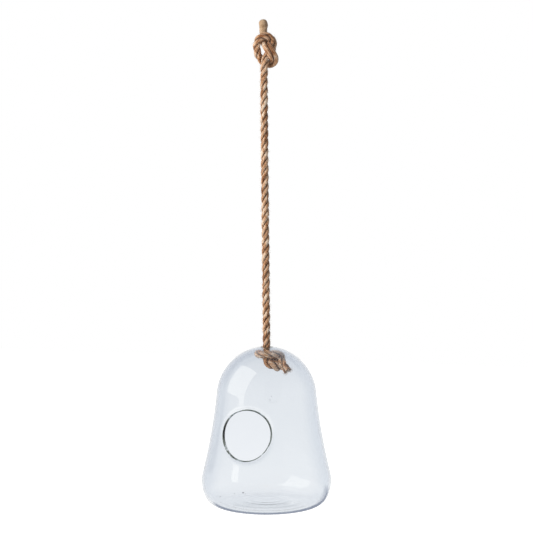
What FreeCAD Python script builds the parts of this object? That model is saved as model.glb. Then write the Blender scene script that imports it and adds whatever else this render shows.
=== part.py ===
import FreeCAD, Part

import math
import os
import re

import Sketcher

# Hanging glass propagation vase on a knotted jute rope.
# Millimetres, +Z up. The origin is the eye of the top knot, by which the whole thing hangs.
# The side opening faces -Y. The two knots face the side from which they are drawn,
# knot_turn degrees round from the opening.

os.makedirs("parts", exist_ok=True)
Vector = FreeCAD.Vector
doc = FreeCAD.newDocument("propagation_vase")


# Driving dimensions: alias, value, what it is
SIZES = [
    ("vessel_height", 205.0, "glass, from the land it stands on to the crown's top"),
    ("belly_diameter", 168.0, "glass at its widest"),
    ("belly_height", 32.0, "widest level above the land"),
    ("belly_curve", 46.0, "radius of the belly's side curve"),
    ("heel_curve", 21.5, "radius of the heel under the belly"),
    ("flank_curve", 700.0, "radius of the slightly hollow flank"),
    ("dome_curve", 65.0, "radius of the domed crown"),
    ("wall", 2.6, "glass wall"),
    ("floor_thickness", 5.0, "glass floor at its middle"),
    ("land_width", 9.0, "flat ring that the glass stands on"),
    ("punt_rise", 3.0, "hollow under the floor at its middle"),
    ("crown_hole", 15.0, "diameter of the rope's hole"),
    ("opening_diameter", 64.0, "round opening in the side"),
    ("opening_height", 100.0, "opening's centre above the land"),
    ("rim_share", 0.45, "melted edge of the opening, as a share of the wall"),
    ("rope_diameter", 10.0, "three-strand jute rope"),
    ("hang_drop", 386.6, "from the origin down to the crown's top"),
    ("neck_length", 31.0, "rope from the top knot to the first bend"),
    ("link_length", 62.0, "rope between the two bends near the top"),
    ("upper_length", 62.0, "rope from the second bend to the twist"),
    ("middle_length", 62.0, "rope from the twist to the third bend"),
    ("bend_limit", 45.0, "most that the rope bends at one place, in degrees"),
    ("bend_gap", 0.3, "clearance where the rope bends"),
    ("knot_turn", 23.0, "knots face this many degrees round from the opening"),
    ("dip_length", 15.2, "hardened end over the rope's upper tip"),
    ("dip_skin", 0.5, "hardened coat at its lower lip"),
    ("dip_shoulder", 12.2, "height of the coat's side"),
    ("dip_bulge_curve", 38.0, "radius of the coat's bulged side"),
    ("dip_depth", 12.6, "rope inside the coat"),
    ("fray_length", 7.0, "loose fibres past the lower tail"),
    ("fray_diameter", 12.6, "loose fibres at their cut face"),
]

# The rope's routes, chosen by hand: across, away from the viewer, up
# Top knot: an overhand knot, from the rope below it to the tip, measured from the origin
TOP_KNOT_ROUTE = [
    (0.0, 0.0, -40.0), (0.0, 0.0, -31.5), (0.2, -6.2, -20.5), (2.2, -2.0, -11.2), (7.6, 7.0, -5.0),
    (13.0, 5.6, 3.0), (12.0, 0.0, 12.0), (3.5, -6.2, 16.4), (-6.3, -5.6, 14.0), (-11.6, 0.0, 5.0),
    (-9.4, 5.6, -6.5), (-2.2, 8.0, -16.2), (8.5, 5.0, -21.0), (15.0, -2.2, -13.8), (10.6, -7.6, -4.2),
    (3.0, -2.2, 3.5), (-0.8, 5.6, 11.5), (-1.2, 5.2, 21.0), (-1.2, 5.2, 37.0),
]
# Stopper knot: an overhand knot jammed under the crown, measured from the crown's top
STOPPER_ROUTE = [
    (0.0, 0.0, 14.0), (0.0, 0.0, 3.0), (0.1, -0.4, -7.0), (-0.2, -2.6, -16.0), (2.6, -6.0, -25.4),
    (10.5, -5.0, -32.2), (18.6, 3.2, -30.2), (21.6, 9.0, -20.6), (19.8, 3.0, -11.6), (14.2, -10.5, -10.4),
    (2.0, -13.8, -9.8), (-8.8, -11.0, -9.8), (-11.4, 1.0, -9.8), (-7.0, 11.2, -10.0), (2.5, 12.8, -12.5),
    (8.4, 4.0, -19.0), (16.4, -8.5, -22.2), (23.2, -11.6, -27.6),
]
ARC_SHARE = 0.45  # of the shorter run beside a corner is taken by the corner's arc
GAP_STEP_SHARE = 0.05  # of the rope's diameter, between the points that a knot's gap is measured on
GAP_REACH_SHARE = 2.2  # of the rope's diameter, along the rope, before another turn is a neighbour


def make_sheet():
    """The spreadsheet that every size comes from."""
    sheet = doc.addObject("Spreadsheet::Sheet", "sizes")
    rows = SIZES + [
        ("knot_exit", -TOP_KNOT_ROUTE[0][2], "from the origin down to the end of the top knot's rope"),
        ("stopper_entry", STOPPER_ROUTE[0][2], "from the crown's top up to the stopper knot's rope"),
    ]
    for row, (alias, value, words) in enumerate(rows, start=1):
        sheet.set(f"A{row}", words)
        sheet.set(f"B{row}", str(value))
        sheet.setAlias(f"B{row}", alias)
    doc.recompute()
    return sheet


sizes = make_sheet()


def size(alias):
    """A driving dimension's value."""
    return float(sizes.get(alias))


def bind(thing, prop, formula):
    """Tie a property to the sheet; each alias in the formula is found there."""
    aliases = [sizes.getAlias(cell) for cell in sizes.getUsedCells() if sizes.getAlias(cell)]
    named = re.sub("[a-z_]+", lambda word: f"sizes.{word[0]}" if word[0] in aliases else word[0], formula)
    thing.setExpression(prop, named)


def body_plane(body, role):
    """One of a body's own origin planes or axes."""
    return [feature for feature in body.Origin.OriginFeatures if feature.Role == role][0]


def make_body(name):
    """A new body that carries one sub-part."""
    body = doc.addObject("PartDesign::Body", name)
    body.Label = name
    return body


def make_sketch(body, name):
    """A sketch on a body's upright XZ plane: first number across, second up."""
    sketch = body.newObject("Sketcher::SketchObject", name)
    sketch.AttachmentSupport = (body_plane(body, "XZ_Plane"), [""])
    sketch.MapMode = "FlatFace"
    return sketch


def add_arc(sketch, centre, radius, start_angle, end_angle):
    """An arc in a sketch, anticlockwise from start to end; returns its number."""
    circle = Part.Circle(Vector(centre[0], centre[1], 0), Vector(0, 0, 1), radius)
    return sketch.addGeometry(Part.ArcOfCircle(circle, start_angle, end_angle), False)


def add_line(sketch, start, end):
    """A line in a sketch; returns its number."""
    return sketch.addGeometry(Part.LineSegment(Vector(*start, 0), Vector(*end, 0)), False)


def hold(sketch, name, kind, *rest, formula):
    """A sketch dimension with a name, tied to the sheet."""
    index = sketch.addConstraint(Sketcher.Constraint(kind, *rest))
    sketch.renameConstraint(index, name)
    bind(sketch, f"Constraints.{name}", formula)


def rule(sketch, kind, *rest):
    """A sketch rule with no size."""
    sketch.addConstraint(Sketcher.Constraint(kind, *rest))


def revolve(body, sketch, name):
    """Turn a sketch about the body's upright axis."""
    turned = body.newObject("PartDesign::Revolution", name)
    turned.Profile = sketch
    turned.ReferenceAxis = (sketch, ["V_Axis"])
    turned.Angle = 360.0
    return turned


# How a sketch's rules count the places on a curve and the sketch's own axes
CURVE_PLACES = ("edge", "start", "end", "centre")
START, END, CENTRE = (CURVE_PLACES.index(word) for word in CURVE_PLACES[1:])
OWN_AXES = ("none", "across", "up")
H_AXIS, V_AXIS = (-OWN_AXES.index(word) for word in OWN_AXES[1:])
ORIGIN = H_AXIS


def angle_of(centre, point):
    """Direction from a centre to a point."""
    return math.atan2(point[1] - centre[1], point[0] - centre[0])


def glass_centres():
    """Centres of the dome, flank, belly and heel arcs, worked out from the driving dimensions."""
    dome = (0.0, size("vessel_height") - size("dome_curve"))
    belly = (size("belly_diameter") / 2 - size("belly_curve"), size("belly_height"))
    # The hollow flank touches the dome and the belly from outside
    to_dome = size("dome_curve") + size("flank_curve")
    to_belly = size("belly_curve") + size("flank_curve")
    apart = math.dist(dome, belly)
    along = (to_dome**2 - to_belly**2 + apart**2) / (2 * apart)
    aside = math.sqrt(to_dome**2 - along**2)
    run = ((belly[0] - dome[0]) / apart, (belly[1] - dome[1]) / apart)
    flank = (dome[0] + along * run[0] - aside * run[1], dome[1] + along * run[1] + aside * run[0])
    # The heel touches the belly from inside and the land from above
    reach = size("belly_curve") - size("heel_curve")
    rise = size("belly_height") - size("heel_curve")
    heel = (belly[0] + math.sqrt(reach**2 - rise**2), size("heel_curve"))
    return dome, flank, belly, heel


def wall_arcs(sketch, centres, inset):
    """The four arcs of one face of the wall, from the land up to the crown's hole."""
    dome, flank, belly, heel = centres
    rim_angle = math.acos((size("crown_hole") + size("wall")) / 2 / (size("dome_curve") - size("wall") / 2))
    dome_low = angle_of(dome, flank)
    flank_top = angle_of(flank, dome) % (2 * math.pi)
    flank_low = angle_of(flank, belly) % (2 * math.pi)
    belly_top = angle_of(belly, flank)
    belly_low = angle_of(belly, heel)
    arcs = [
        add_arc(sketch, heel, size("heel_curve") - inset, -math.pi / 2, belly_low),
        add_arc(sketch, belly, size("belly_curve") - inset, belly_low, belly_top),
        add_arc(sketch, flank, size("flank_curve") + inset, flank_top, flank_low),
        add_arc(sketch, dome, size("dome_curve") - inset, dome_low, rim_angle),
    ]
    heel_arc, belly_arc, flank_arc, dome_arc = arcs
    rule(sketch, "Tangent", heel_arc, END, belly_arc, START)
    rule(sketch, "Tangent", belly_arc, END, flank_arc, END)
    rule(sketch, "Tangent", flank_arc, START, dome_arc, START)
    return arcs


def hold_outside(sketch, arcs):
    """Sizes and places of the wall's outer face."""
    heel, belly, flank, dome = arcs
    hold(sketch, "heel_curve", "Radius", heel, size("heel_curve"), formula="heel_curve")
    hold(sketch, "belly_curve", "Radius", belly, size("belly_curve"), formula="belly_curve")
    hold(sketch, "flank_curve", "Radius", flank, size("flank_curve"), formula="flank_curve")
    hold(sketch, "dome_curve", "Radius", dome, size("dome_curve"), formula="dome_curve")
    rule(sketch, "PointOnObject", dome, CENTRE, V_AXIS)
    hold(sketch, "dome_place", "DistanceY", ORIGIN, START, dome, CENTRE,
         size("vessel_height") - size("dome_curve"), formula="vessel_height - dome_curve")
    hold(sketch, "belly_place", "DistanceY", ORIGIN, START, belly, CENTRE,
         size("belly_height"), formula="belly_height")
    hold(sketch, "belly_reach", "DistanceX", ORIGIN, START, belly, CENTRE,
         size("belly_diameter") / 2 - size("belly_curve"), formula="belly_diameter / 2 - belly_curve")


def wall_section(body):
    """Section of the glass: outer face, land, punt, floor, inner face and the melted rim of the hole."""
    sketch = make_sketch(body, "wall_section")
    centres = glass_centres()
    wall = size("wall")
    outside = wall_arcs(sketch, centres, 0.0)
    inside = wall_arcs(sketch, centres, wall)
    hold_outside(sketch, outside)
    for outer, inner in zip(outside, inside):
        rule(sketch, "Coincident", outer, CENTRE, inner, CENTRE)

    # Melted rim: a half circle from the outer face to the inner one
    dome = centres[0]
    middle = size("dome_curve") - wall / 2
    lean = math.acos((size("crown_hole") + wall) / 2 / middle)
    rim_centre = (dome[0] + middle * math.cos(lean), dome[1] + middle * math.sin(lean))
    rim = add_arc(sketch, rim_centre, wall / 2, lean, lean + math.pi)
    rule(sketch, "Tangent", outside[3], END, rim, START)
    rule(sketch, "Tangent", inside[3], END, rim, END)
    hold(sketch, "hole_place", "DistanceX", ORIGIN, START, rim, CENTRE,
         (size("crown_hole") + wall) / 2, formula="(crown_hole + wall) / 2")

    # Land and punt below, floor above
    heel_x = centres[3][0]
    land_x = heel_x - size("land_width")
    rise = size("punt_rise")
    floor = rise + size("floor_thickness")
    land = add_line(sketch, (heel_x, 0.0), (land_x, 0.0))
    rule(sketch, "Tangent", land, START, outside[0], START)
    rule(sketch, "Horizontal", land)
    rule(sketch, "PointOnObject", land, END, H_AXIS)
    hold(sketch, "land_width", "DistanceX", land, END, land, START, size("land_width"), formula="land_width")
    punt = add_bowed_arc(sketch, land_x, 0.0, rise)
    rule(sketch, "Coincident", punt, START, land, END)
    axis = add_line(sketch, (0.0, rise), (0.0, floor))
    rule(sketch, "Coincident", punt, END, axis, START)
    rule(sketch, "PointOnObject", axis, START, V_AXIS)
    rule(sketch, "Vertical", axis)
    hold(sketch, "punt_rise", "DistanceY", ORIGIN, START, axis, START, rise, formula="punt_rise")
    hold(sketch, "floor_thickness", "DistanceY", axis, START, axis, END,
         size("floor_thickness"), formula="floor_thickness")
    floor_arc = add_bowed_arc(sketch, heel_x, wall, floor)
    rule(sketch, "Coincident", floor_arc, START, inside[0], START)
    rule(sketch, "Coincident", floor_arc, END, axis, END)
    rule(sketch, "Vertical", inside[0], START, inside[0], CENTRE)
    hold(sketch, "heel_wall", "Radius", inside[0], size("heel_curve") - wall, formula="heel_curve - wall")
    return sketch


def add_bowed_arc(sketch, edge_x, edge_z, crown_z):
    """A shallow arc that rises from an edge to the upright axis, its centre on that axis."""
    rise = crown_z - edge_z
    radius = (edge_x**2 + rise**2) / (2 * rise)
    centre = (0.0, crown_z - radius)
    arc = add_arc(sketch, centre, radius, angle_of(centre, (edge_x, edge_z)), math.pi / 2)
    rule(sketch, "PointOnObject", arc, CENTRE, V_AXIS)
    return arc


def make_glass():
    """Blown glass vessel: turned wall, side opening, melted edge."""
    body = make_body("glass_vessel")
    turned = revolve(body, wall_section(body), "turned_wall")
    doc.recompute()
    whole = turned.Shape.Volume

    ring = make_sketch(body, "side_opening")
    circle = Part.Circle(Vector(0, size("opening_height"), 0), Vector(0, 0, 1), size("opening_diameter") / 2)
    number = ring.addGeometry(circle, False)
    rule(ring, "PointOnObject", number, CENTRE, V_AXIS)
    hold(ring, "opening_height", "DistanceY", ORIGIN, START, number, CENTRE,
         size("opening_height"), formula="opening_height")
    hold(ring, "opening_size", "Radius", number, size("opening_diameter") / 2, formula="opening_diameter / 2")
    cut = body.newObject("PartDesign::Pocket", "opened_side")
    cut.Profile = ring
    cut.Type = "Length"
    cut.Reversed = True
    bind(cut, "Length", "belly_diameter")
    doc.recompute()
    if not (cut.Shape.Volume < whole and cut.Shape.Solids[0].CenterOfMass.y > 0):
        raise RuntimeError("the side opening is not cut towards -Y")

    melted = body.newObject("PartDesign::Fillet", "melted_edge")
    melted.Base = (cut, opening_edges(cut.Shape))
    bind(melted, "Radius", "wall * rim_share")
    bind(body, "Placement.Base.z", "0 - hang_drop - vessel_height")
    return body


def opening_edges(shape):
    """Names of the edges that lie round the side opening."""
    reach = size("opening_diameter") / 2 + size("wall")
    height = size("opening_height")
    names = []
    for number, edge in enumerate(shape.Edges, start=1):
        box = edge.BoundBox
        beside = max(abs(box.XMin), abs(box.XMax)) < reach and box.YMax < 0
        level = max(abs(box.ZMin - height), abs(box.ZMax - height)) < reach
        if beside and level:
            names.append(f"Edge{number}")
    return names


def make_stretch(name, top, length, ball=False, cup=False):
    """A straight stretch of rope hanging down from a level.

    A bend has a ball on the rope below it and a cup in the rope above it. Lengths are formulas.
    """
    rope = doc.addObject("Part::Cylinder", f"{name}_rope")
    bind(rope, "Radius", "rope_diameter / 2")
    bind(rope, "Height", length)
    bind(rope, "Placement.Base.z", f"{top} - ({length})")
    solid = rope
    if ball:
        tip = doc.addObject("Part::Sphere", f"{name}_ball")
        bind(tip, "Radius", "rope_diameter / 2")
        bind(tip, "Placement.Base.z", top)
        solid = doc.addObject("Part::Fuse", f"{name}_with_ball")
        solid.Base = rope
        solid.Tool = tip
    if cup:
        hollow = doc.addObject("Part::Sphere", f"{name}_hollow")
        bind(hollow, "Radius", "rope_diameter / 2 + bend_gap")
        bind(hollow, "Placement.Base.z", f"{top} - ({length})")
        flare = doc.addObject("Part::Cone", f"{name}_flare")
        bind(flare, "Radius1", "(rope_diameter / 2 + bend_gap) / cos(bend_limit * 1 deg)")
        flare.Radius2 = 0.0
        bind(flare, "Height", "(rope_diameter / 2 + bend_gap) / sin(bend_limit * 1 deg)")
        bind(flare, "Placement.Base.z", f"{top} - ({length})")
        seat = doc.addObject("Part::Fuse", f"{name}_seat")
        seat.Base = hollow
        seat.Tool = flare
        cupped = doc.addObject("Part::Cut", f"{name}_cupped")
        cupped.Base = solid
        cupped.Tool = seat
        solid = cupped
    solid.Label = name
    return solid


def rounded_path(route):
    """A route as straight runs joined by tangent arcs; returns the wire and the arcs' radii."""
    points = [Vector(*point) for point in route]
    edges = []
    radii = []
    last = points[0]
    for before, corner, after in zip(points, points[1:], points[2:]):
        run_in = corner - before
        run_out = after - corner
        cut = ARC_SHARE * min(run_in.Length, run_out.Length)
        turn = run_in.getAngle(run_out)
        radius = cut / math.tan(turn / 2)
        ahead = run_in.normalize()
        beyond = run_out.normalize()
        start = corner - ahead * cut
        end = corner + beyond * cut
        inward = (beyond - ahead).normalize()
        middle = corner + inward * (radius / math.cos(turn / 2) - radius)
        edges.append(Part.LineSegment(last, start).toShape())
        edges.append(Part.Arc(start, middle, end).toShape())
        radii.append(radius)
        last = end
    edges.append(Part.LineSegment(last, points[-1]).toShape())
    return Part.Wire(edges), radii


def least_gap(wire, diameter):
    """Least clear distance of a tube to itself, measured on points along its middle."""
    places = wire.discretize(Distance=diameter * GAP_STEP_SHARE)
    skip = int(GAP_REACH_SHARE / GAP_STEP_SHARE)
    return min(
        one.distanceToPoint(other)
        for index, one in enumerate(places)
        for other in places[index + skip:]
    ) - diameter


def make_knot(name, route):
    """A knot: one unbroken tube of rope along a route, in the plane that the knots face."""
    wire, radii = rounded_path(route)
    path = doc.addObject("Part::Feature", f"{name}_route")
    path.Shape = wire
    ring = doc.addObject("Part::Circle", f"{name}_section")
    bind(ring, "Radius", "rope_diameter / 2")
    start = Vector(*route[0])
    ahead = Vector(*route[1]) - start
    ring.Placement = FreeCAD.Placement(start, FreeCAD.Rotation(Vector(0, 0, 1), ahead))
    tube = doc.addObject("Part::Sweep", name)
    tube.Sections = [ring]
    tube.Spine = (path, [])
    tube.Solid = True
    tube.Frenet = False
    tube.Label = name
    bind(tube, "Placement.Rotation.Angle", "knot_turn * 1 deg")
    doc.recompute()
    section = math.pi * (size("rope_diameter") / 2) ** 2
    print(f"{name}: length {wire.Length:.1f}, radii {', '.join(f'{radius:.1f}' for radius in radii)}")
    print(f"{name}: least gap to itself {least_gap(wire, size('rope_diameter')):.2f}")
    print(f"{name}: volume over section times length {tube.Shape.Volume / (section * wire.Length):.4f}")
    return tube


def make_dipped_end():
    """Hardened, slightly swollen coat over the rope's upper tip, with the rope's own bore."""
    body = make_body("dipped_end")
    sketch = make_sketch(body, "coat_section")
    rope = size("rope_diameter") / 2
    lip = rope + size("dip_skin")
    shoulder = size("dip_shoulder")
    bulge = size("dip_bulge_curve")
    side_centre = (lip - math.sqrt(bulge**2 - (shoulder / 2) ** 2), shoulder / 2)
    side = add_arc(sketch, side_centre, bulge, angle_of(side_centre, (lip, 0.0)),
                   angle_of(side_centre, (lip, shoulder)))
    top = add_bowed_arc(sketch, lip, shoulder, size("dip_length"))
    axis = add_line(sketch, (0.0, size("dip_length")), (0.0, size("dip_depth")))
    bore_end = add_line(sketch, (0.0, size("dip_depth")), (rope, size("dip_depth")))
    bore = add_line(sketch, (rope, size("dip_depth")), (rope, 0.0))
    foot = add_line(sketch, (rope, 0.0), (lip, 0.0))
    rule(sketch, "Coincident", side, END, top, START)
    rule(sketch, "Coincident", top, END, axis, START)
    rule(sketch, "Coincident", axis, END, bore_end, START)
    rule(sketch, "Coincident", bore_end, END, bore, START)
    rule(sketch, "Coincident", bore, END, foot, START)
    rule(sketch, "Coincident", foot, END, side, START)
    rule(sketch, "PointOnObject", axis, START, V_AXIS)
    rule(sketch, "Vertical", axis)
    rule(sketch, "Horizontal", bore_end)
    rule(sketch, "Vertical", bore)
    rule(sketch, "PointOnObject", foot, START, H_AXIS)
    rule(sketch, "Horizontal", foot)
    rule(sketch, "Vertical", foot, END, side, END)
    hold(sketch, "bulge", "Radius", side, bulge, formula="dip_bulge_curve")
    hold(sketch, "shoulder", "DistanceY", ORIGIN, START, side, END, shoulder, formula="dip_shoulder")
    hold(sketch, "length", "DistanceY", ORIGIN, START, top, END, size("dip_length"), formula="dip_length")
    hold(sketch, "depth", "DistanceY", ORIGIN, START, axis, END, size("dip_depth"), formula="dip_depth")
    hold(sketch, "bore", "DistanceX", ORIGIN, START, bore, START, rope, formula="rope_diameter / 2")
    hold(sketch, "skin", "DistanceX", foot, START, foot, END, size("dip_skin"), formula="dip_skin")
    revolve(body, sketch, "coat")

    tip = Vector(*TOP_KNOT_ROUTE[-1]) - Vector(0, 0, size("dip_depth"))
    turn = FreeCAD.Rotation(Vector(0, 0, 1), size("knot_turn"))
    body.Placement = FreeCAD.Placement(turn.multVec(tip), turn)
    return body


def make_frayed_tail():
    """Loose fibres at the cut end of the stopper knot's tail, opening a little."""
    brush = doc.addObject("Part::Cone", "frayed_tail")
    bind(brush, "Radius1", "rope_diameter / 2")
    bind(brush, "Radius2", "fray_diameter / 2")
    bind(brush, "Height", "fray_length")
    end = Vector(*STOPPER_ROUTE[-1])
    ahead = end - Vector(*STOPPER_ROUTE[-2])
    turn = FreeCAD.Placement(Vector(0, 0, 0), FreeCAD.Rotation(Vector(0, 0, 1), size("knot_turn")))
    lean = FreeCAD.Placement(end - Vector(0, 0, size("hang_drop")), FreeCAD.Rotation(Vector(0, 0, 1), ahead))
    brush.Placement = turn * lean
    brush.Label = "frayed_tail"
    return brush


def build():
    """Every sub-part, from the top down."""
    first_bend = "0 - knot_exit - neck_length"
    second_bend = f"{first_bend} - link_length"
    twist = f"{second_bend} - upper_length"
    third_bend = f"{twist} - middle_length"
    spent = "knot_exit - neck_length - link_length - upper_length - middle_length"
    lower_length = f"hang_drop - stopper_entry - {spent}"
    parts = [
        make_dipped_end(),
        make_knot("top_knot", TOP_KNOT_ROUTE),
        make_stretch("rope_neck", "0 - knot_exit", "neck_length", cup=True),
        make_stretch("rope_link", first_bend, "link_length", ball=True, cup=True),
        make_stretch("upper_rope", second_bend, "upper_length", ball=True),
        make_stretch("middle_rope", twist, "middle_length", cup=True),
        make_stretch("lower_rope", third_bend, lower_length, ball=True),
    ]
    stopper = make_knot("stopper_knot", STOPPER_ROUTE)
    bind(stopper, "Placement.Base.z", "0 - hang_drop")
    parts += [stopper, make_frayed_tail(), make_glass()]
    return parts


def check(parts):
    """Stop if any object failed or any sub-part has no sound shape."""
    doc.recompute()
    for thing in doc.Objects:
        if {"Invalid", "Error"} & set(thing.State):
            raise RuntimeError(f"{thing.Name} did not build: {thing.State}")
        if thing.TypeId == "Sketcher::SketchObject" and not thing.FullyConstrained:
            raise RuntimeError(f"{thing.Name} is not fully dimensioned")
    for part in parts:
        if part.Shape.isNull() or not part.Shape.isValid():
            raise RuntimeError(f"{part.Label} has no sound shape")
        print(f"{part.Label}: {len(part.Shape.Solids)} solid, volume {part.Shape.Volume:.0f}")


parts = build()
check(parts)
for part in parts:
    part.Shape.exportStep(f"parts/{part.Label}.step")
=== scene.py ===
"""Looks of a hanging propagation vase: blown clear glass on a knotted three-strand jute rope.

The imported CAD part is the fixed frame. All lengths are metres in that frame: +Z up along the rope,
-Y out of the vase's side opening, the origin in the eye of the rope's top knot.
"""

import logging
import math
from dataclasses import dataclass, field, replace
from enum import Enum

import bmesh
import bpy
import numpy as np
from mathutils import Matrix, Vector


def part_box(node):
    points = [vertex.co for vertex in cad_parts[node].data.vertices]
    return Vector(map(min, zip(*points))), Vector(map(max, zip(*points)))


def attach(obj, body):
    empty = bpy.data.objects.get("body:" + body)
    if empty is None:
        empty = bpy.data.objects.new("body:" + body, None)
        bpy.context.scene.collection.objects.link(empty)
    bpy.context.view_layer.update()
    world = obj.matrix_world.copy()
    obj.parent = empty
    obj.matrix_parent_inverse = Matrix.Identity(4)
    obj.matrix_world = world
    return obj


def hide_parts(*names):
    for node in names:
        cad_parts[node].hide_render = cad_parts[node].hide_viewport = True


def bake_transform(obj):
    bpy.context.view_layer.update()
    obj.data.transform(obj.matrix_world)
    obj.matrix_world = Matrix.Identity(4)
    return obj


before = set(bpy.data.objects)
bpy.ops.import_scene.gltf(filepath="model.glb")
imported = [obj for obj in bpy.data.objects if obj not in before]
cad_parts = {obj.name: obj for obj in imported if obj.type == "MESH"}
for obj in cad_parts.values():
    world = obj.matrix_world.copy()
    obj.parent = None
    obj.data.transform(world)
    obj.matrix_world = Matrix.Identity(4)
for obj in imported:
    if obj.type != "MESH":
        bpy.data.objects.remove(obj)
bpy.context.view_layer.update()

log = logging.getLogger("vase")

Array = np.ndarray
Way = tuple[float, float, float]
Stops = tuple[tuple[float, str], ...]
Node = bpy.types.Node
Tree = bpy.types.NodeTree
Piece = bpy.types.Object

MM = 0.001
TURN = 2 * math.pi
# The rope's loops face the photograph's camera, which stands this far round from the side opening
KNOT_TURN = math.radians(23.0)

# Routes of the rope in millimetres, listed point by point: across the knot, away from its viewer, up.
# They repeat the CAD part's, nudged to the photograph.
TOP_KNOT_ROUTE = [
    (-4.3, 5.2, 39.8),
    (-3.9, 5.2, 23.0),
    (-3.6, 5.4, 12.5),
    (-0.9, -2.6, 3.6),
    (4.7, -7.6, -4.8),
    (10.8, -2.2, -13.8),
    (5.0, 5.0, -20.0),
    (-5.1, 8.0, -15.6),
    (-11.3, 5.6, -6.5),
    (-13.7, 0.0, 5.0),
    (-9.2, -5.6, 14.0),
    (0.6, -6.2, 16.4),
    (8.3, 0.0, 12.0),
    (8.9, 5.6, 3.0),
    (4.7, 7.0, -3.6),
    (-0.6, -2.0, -9.4),
    (-2.7, -6.2, -20.5),
    (-3.2, 0.0, -31.5),
]
# The straight rope, which leans a little
STRAIGHT_ROUTE = [
    (-3.2, 0.0, -40.0),
    (-2.7, 0.0, -110.0),
    (-1.9, 0.0, -190.0),
    (-1.0, 0.0, -270.0),
    (-0.4, 0.0, -340.0),
]
# The stopper knot, up from the crown's top
STOPPER_ROUTE = [
    (0.0, 0.0, 14.0),
    (0.0, 0.0, 3.0),
    (-0.2, -0.6, -7.0),
    (-0.8, -3.2, -14.5),
    (0.8, -6.4, -21.0),
    (8.0, -7.8, -23.2),
    (16.5, -3.2, -27.0),
    (20.8, 6.6, -24.5),
    (20.2, 10.0, -16.2),
    (18.4, 2.8, -11.2),
    (13.2, -10.3, -10.2),
    (2.0, -13.6, -9.7),
    (-9.0, -11.0, -9.6),
    (-11.5, 1.0, -9.6),
    (-6.6, 11.2, -10.1),
    (2.5, 12.4, -11.8),
    (9.5, 5.0, -14.6),
    (17.0, -4.5, -16.5),
    (20.6, -8.5, -21.0),
    (23.6, -10.4, -25.6),
]


class Ray(Enum):
    """Kinds of ray that a finish or the surroundings answer to, by the Light Path node's socket."""

    CAMERA = "Is Camera Ray"
    GLOSSY = "Is Glossy Ray"
    TRANSMISSION = "Is Transmission Ray"
    SHADOW = "Is Shadow Ray"


class Wall(Enum):
    """The two faces of the glass, by the share of the wall that each lies inside the outline."""

    OUTER = 0.0
    INNER = 1.0


class Edge(Enum):
    """The glass's two melted edges, by the number of their material on the vessel."""

    RIM = 1
    CROWN = 2


def seen_from(way: Way) -> Way:
    """Turns a way or place across, away and up, as the knots' viewer sees it, into the frame."""
    across, away, up = way
    x = across * math.cos(KNOT_TURN) - away * math.sin(KNOT_TURN)
    y = across * math.sin(KNOT_TURN) + away * math.cos(KNOT_TURN)
    return (x, y, up)


def round_axis(angle: float, radius: float, height: float) -> Way:
    """Gives a place round the vase's axis, by its angle from the side opening."""
    return (radius * math.sin(angle), -radius * math.cos(angle), height)


def linear(code: str) -> tuple[float, float, float, float]:
    """Turns an sRGB hex colour to linear light.

    Args:
        code: the colour, such as "#B88C68".

    Returns:
        Red, green, blue and an alpha of 1.
    """
    parts = [int(code[i : i + 2], 16) / 255 for i in (1, 3, 5)]
    return (*(p / 12.92 if p <= 0.04045 else ((p + 0.055) / 1.055) ** 2.4 for p in parts), 1.0)


def add(tree: Tree, kind: str, inputs: dict | None = None, stops: dict | None = None, **settings) -> Node:
    """Adds a node with its settings and links.

    Args:
        tree: the node tree that takes it.
        kind: the node's type.
        inputs: what each input takes, by its name or number: a value, another node's output, or
            another node, for the first of its outputs that is in use.
        stops: for a colour ramp, an sRGB hex colour at each place from 0 to 1, in order.
        settings: the node's own properties.

    Returns:
        The new node.
    """
    node = tree.nodes.new(kind)
    for name, value in settings.items():
        setattr(node, name, value)
    for key, value in (inputs or {}).items():
        if isinstance(value, bpy.types.Node):
            value = next(output for output in value.outputs if output.enabled)
        if isinstance(value, bpy.types.NodeSocket):
            tree.links.new(value, node.inputs[key])
        else:
            node.inputs[key].default_value = value
    if stops:
        elements = node.color_ramp.elements
        while len(elements) < len(stops):
            elements.new(1.0)
        for element, (place, code) in zip(elements, stops.items()):
            element.position = place
            element.color = linear(code)
    return node


def new_tree(name: str, inputs: dict[str, str]) -> tuple[Tree, bpy.types.bpy_prop_collection]:
    """Starts a Geometry Nodes tree.

    Args:
        name: the tree's name.
        inputs: the kind of each input that follows the geometry, by its name.

    Returns:
        The tree, and the sockets that give its inputs.
    """
    tree = bpy.data.node_groups.new(name, "GeometryNodeTree")
    for socket, kind in ({"Geometry": "Geometry"} | inputs).items():
        tree.interface.new_socket(socket, in_out="INPUT", socket_type=f"NodeSocket{kind}")
    tree.interface.new_socket("Geometry", in_out="OUTPUT", socket_type="NodeSocketGeometry")
    return tree, add(tree, "NodeGroupInput").outputs


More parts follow.
